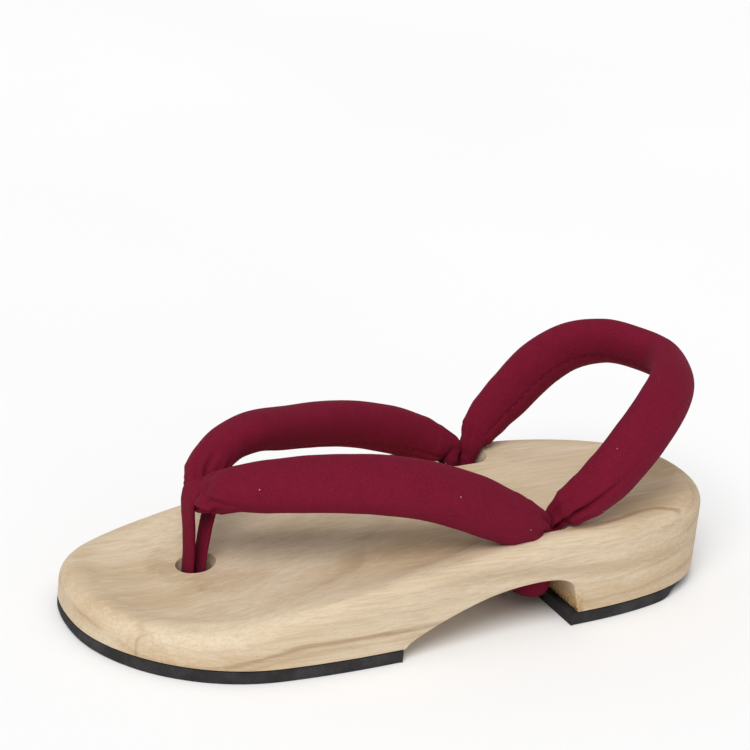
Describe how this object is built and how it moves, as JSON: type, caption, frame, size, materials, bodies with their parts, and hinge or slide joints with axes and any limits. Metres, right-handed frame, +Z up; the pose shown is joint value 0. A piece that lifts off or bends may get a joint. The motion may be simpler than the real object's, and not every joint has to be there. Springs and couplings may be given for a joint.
{
  "type": "geta sandal",
  "caption": "Slim wooden geta sandal with a dished footbed, arched underside, rubber tread pads, padded thong strap, toe loop and raised heel strap.",
  "frame": {"origin": "on the floor, under the middle of the sandal's bounding box", "axes": "+Z up, toe towards -Y, heel towards +Y, little-toe side of the left foot towards +X"},
  "size_m": [0.097, 0.236, 0.0865],
  "materials": {
    "pale_wood": "plain sanded pale wood with brown grain streaks",
    "black_rubber": "matte black sponge rubber sheet",
    "wine_cloth": "wine red padded plain-weave cloth"
  },
  "bodies": {
    "root": {"wooden_body": "pale_wood", "forefoot_pad": "black_rubber", "heel_pad": "black_rubber", "thong_strap": "wine_cloth", "toe_loop": "wine_cloth", "heel_strap": "wine_cloth"}
  },
  "joints": []
}
